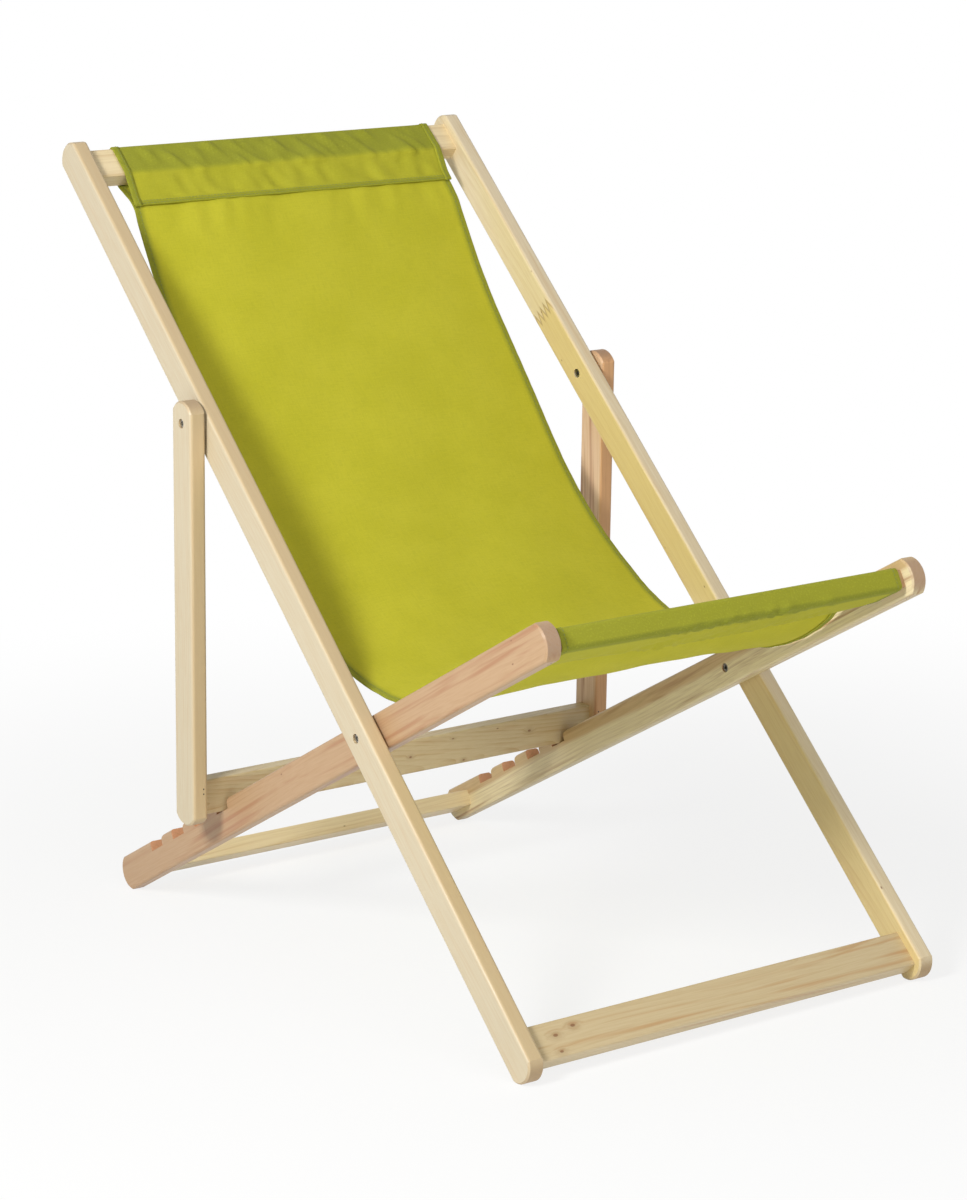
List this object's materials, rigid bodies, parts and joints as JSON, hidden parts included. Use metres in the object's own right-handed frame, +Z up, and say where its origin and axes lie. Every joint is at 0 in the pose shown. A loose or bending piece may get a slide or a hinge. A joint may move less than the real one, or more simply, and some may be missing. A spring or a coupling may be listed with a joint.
{
  "type": "sling deck chair",
  "caption": "Folding wooden deck chair: two crossed frames, a prop frame whose crossbar rests in a notched rack, and a hanging canvas sling for seat and back.",
  "frame": {"origin": "on the floor, in the middle of the chair's footprint box", "axes": "+X towards the sitter's left hand side as seen from the front, that is to the right of someone who faces the chair; +Y towards the back; +Z up"},
  "size_m": [0.596, 0.9378, 0.9157],
  "materials": {
    "pine": "sanded and clear varnished, satin",
    "canvas": "matt plain-weave canvas, lime green",
    "zinc_steel": "zinc plated, satin"
  },
  "bodies": {
    "long_frame": {"left_long_rail": "pine", "right_long_rail": "pine", "top_cross_rail": "pine", "foot_stretcher": "pine", "long_frame_pins": "zinc_steel", "left_main_pivot_bolt": "zinc_steel", "left_main_pivot_nut": "zinc_steel", "left_main_pivot_washer": "zinc_steel", "left_prop_pivot_bolt": "zinc_steel", "left_prop_pivot_nut": "zinc_steel", "left_prop_pivot_washer": "zinc_steel", "right_main_pivot_bolt": "zinc_steel", "right_main_pivot_nut": "zinc_steel", "right_main_pivot_washer": "zinc_steel", "right_prop_pivot_bolt": "zinc_steel", "right_prop_pivot_nut": "zinc_steel", "right_prop_pivot_washer": "zinc_steel", "sling": "canvas"},
    "seat_frame": {"left_seat_rail": "pine", "right_seat_rail": "pine", "front_cross_rail": "pine", "rear_stretcher": "pine", "seat_frame_pins": "zinc_steel"},
    "prop_frame": {"left_prop_leg": "pine", "right_prop_leg": "pine", "prop_crossbar": "pine", "prop_frame_pins": "zinc_steel"}
  },
  "joints": [
    {"name": "frame_fold", "type": "hinge", "parent": "long_frame", "child": "seat_frame", "pos_m": [0, -0.14476, 0.30762], "axis": [1, 0, 0], "range_deg": [-103, 0], "deforming": ["sling"]},
    {"name": "prop_swing", "type": "hinge", "parent": "long_frame", "child": "prop_frame", "pos_m": [0, 0.16641, 0.61586], "axis": [1, 0, 0], "range_deg": [-43.8, 0]}
  ],
  "couplings": [
    {"joint": "prop_swing", "follows": "frame_fold", "ratio": 0.425}
  ]
}
